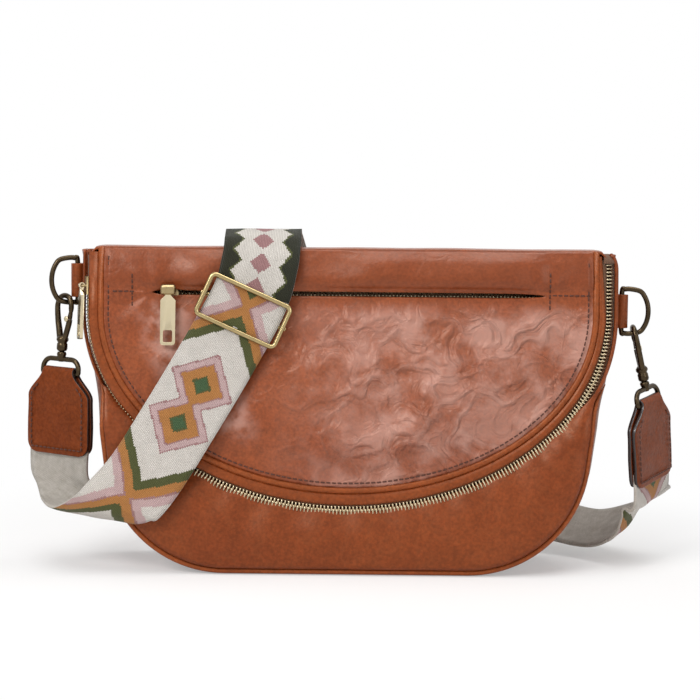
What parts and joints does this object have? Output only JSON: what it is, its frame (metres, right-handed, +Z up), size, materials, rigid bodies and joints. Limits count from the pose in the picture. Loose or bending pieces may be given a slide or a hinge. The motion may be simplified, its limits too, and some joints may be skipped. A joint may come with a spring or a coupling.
{
  "type": "crescent crossbody bag",
  "caption": "Crescent crossbody bag in cognac leather with a zip-round flap, a front zip pocket, D-rings with swivel hooks and a patterned webbing strap with a slide buckle.",
  "frame": {"origin": "on the floor at the middle of the bag's flat base", "axes": "+Z up from the base to the top edge, +X to the right seen from the flap, -Y out of the flap's face"},
  "size_m": [0.3339, 0.1034, 0.1711],
  "materials": {
    "cognac_leather": "smooth, light sheen",
    "piping_leather": "smooth",
    "lining_cotton": "plain weave",
    "stiffening_board": "matte",
    "woven_webbing": "woven jacquard pattern",
    "zip_brass": "polished",
    "antique_brass": "antique",
    "pale_gold": "satin, pale gold plated"
  },
  "bodies": {
    "bag": {"back_panel": "cognac_leather", "gusset": "cognac_leather", "front_crescent": "cognac_leather", "top_strip": "cognac_leather", "front_piping": "piping_leather", "back_piping": "piping_leather", "side_lining": "lining_cotton", "back_lining": "lining_cotton", "base_board": "stiffening_board", "main_zip_body_row": "zip_brass", "ring_tab_left": "cognac_leather", "ring_tab_right": "cognac_leather", "webbing_back": "woven_webbing"},
    "flap": {"flap_panel": "cognac_leather", "flap_band": "cognac_leather", "flap_piping": "piping_leather", "main_zip_flap_row": "zip_brass", "pocket_zip_upper": "zip_brass", "pocket_zip_lower": "zip_brass", "pocket_bag": "lining_cotton"},
    "strap_front": {"webbing_front": "woven_webbing"},
    "buckle": {"buckle_frame": "pale_gold", "buckle_bar": "pale_gold"},
    "main_slider": {"main_slider": "pale_gold"},
    "main_puller": {"main_puller": "pale_gold"},
    "pocket_slider": {"pocket_slider": "pale_gold"},
    "pocket_puller": {"pocket_puller": "pale_gold"},
    "ring_left": {"ring_left": "antique_brass"},
    "hook_left": {"hook_left": "antique_brass", "rivet_left": "antique_brass"},
    "gate_left": {"gate_left": "antique_brass"},
    "swivel_left": {"swivel_left": "antique_brass"},
    "tab_left": {"end_tab_left": "cognac_leather", "webbing_left": "woven_webbing"},
    "ring_right": {"ring_right": "antique_brass"},
    "hook_right": {"hook_right": "antique_brass", "rivet_right": "antique_brass"},
    "gate_right": {"gate_right": "antique_brass"},
    "swivel_right": {"swivel_right": "antique_brass"},
    "tab_right": {"end_tab_right": "cognac_leather", "webbing_right": "woven_webbing"}
  },
  "joints": [
    {"name": "flap_hinge", "type": "hinge", "parent": "bag", "child": "flap", "pos_m": [0, -0.009, 0.1605], "axis": [-1, 0, 0], "range_deg": [0, 75]},
    {"name": "strap_lift", "type": "hinge", "parent": "bag", "child": "strap_front", "pos_m": [0, -0.009, 0.1605], "axis": [-1, 0, 0], "range_deg": [0, 75], "deforming": ["webbing_front"]},
    {"name": "buckle_slide", "type": "slide", "parent": "strap_front", "child": "buckle", "axis": [0.4067, 0.1119, 0.9067], "range_m": [-0.01, 0.008]},
    {"name": "main_slide", "type": "slide", "parent": "bag", "child": "main_slider", "axis": [0, 0.1225, 0.9925], "range_m": [0, 0.01]},
    {"name": "main_pull", "type": "hinge", "parent": "main_slider", "child": "main_puller", "pos_m": [-0.13391, -0.00868, 0.142], "axis": [-0.3443, 0.9318, -0.115], "range_deg": [0, 90]},
    {"name": "pocket_slide", "type": "slide", "parent": "flap", "child": "pocket_slider", "axis": [1, 0, 0], "range_m": [0, 0.178]},
    {"name": "pocket_pull", "type": "hinge", "parent": "pocket_slider", "child": "pocket_puller", "pos_m": [-0.0897, -0.01356, 0.13972], "axis": [-1, 0, 0], "range_deg": [0, 110]},
    {"name": "ring_left_swing", "type": "hinge", "parent": "bag", "child": "ring_left", "pos_m": [-0.13746, 0.003, 0.144], "axis": [0, 0, 1], "range_deg": [-25, 0]},
    {"name": "hook_left_swing", "type": "hinge", "parent": "ring_left", "child": "hook_left", "pos_m": [-0.14367, 0.00049, 0.1328], "axis": [-0.9272, -0.3746, 0], "range_deg": [-5, 4]},
    {"name": "gate_left_open", "type": "hinge", "parent": "hook_left", "child": "gate_left", "pos_m": [-0.14083, -0.00299, 0.12451], "axis": [-0.6669, -0.7406, 0.0819], "range_deg": [0, 24], "stiffness_Nm_per_rad": 0.004, "springref_deg": -17.19},
    {"name": "swivel_left_turn", "type": "hinge", "parent": "hook_left", "child": "swivel_left", "pos_m": [-0.14506, -0.00104, 0.10768], "axis": [0.0548, 0.0609, 0.9966], "range_deg": [-20, 2]},
    {"name": "tab_left_swing", "type": "hinge", "parent": "swivel_left", "child": "tab_left", "pos_m": [-0.14566, -0.00172, 0.09668], "axis": [0.838, -0.5455, -0.0128], "range_deg": [-20, 2], "deforming": ["webbing_left"]},
    {"name": "ring_right_swing", "type": "hinge", "parent": "bag", "child": "ring_right", "pos_m": [0.13866, 0.003, 0.131], "axis": [0, 0, 1], "range_deg": [-4, 25]},
    {"name": "hook_right_swing", "type": "hinge", "parent": "ring_right", "child": "hook_right", "pos_m": [0.14521, 0.00161, 0.1198], "axis": [0.9781, -0.2079, 0], "range_deg": [-12, 12]},
    {"name": "gate_right_open", "type": "hinge", "parent": "hook_right", "child": "gate_right", "pos_m": [0.14724, 0.00598, 0.11169], "axis": [0.9738, -0.034, 0.2248], "range_deg": [0, 24], "stiffness_Nm_per_rad": 0.004, "springref_deg": -17.19},
    {"name": "swivel_right_turn", "type": "hinge", "parent": "hook_right", "child": "swivel_right", "pos_m": [0.15087, 0.00141, 0.09525], "axis": [-0.2247, 0.0078, 0.9744], "range_deg": [-20, 20]},
    {"name": "tab_right_swing", "type": "hinge", "parent": "swivel_right", "child": "tab_right", "pos_m": [0.15335, 0.00132, 0.08449], "axis": [0.5777, 0.8064, 0.1267], "range_deg": [-20, 20], "deforming": ["webbing_right"]}
  ],
  "couplings": [
    {"joint": "strap_lift", "follows": "flap_hinge", "ratio": 1}
  ]
}
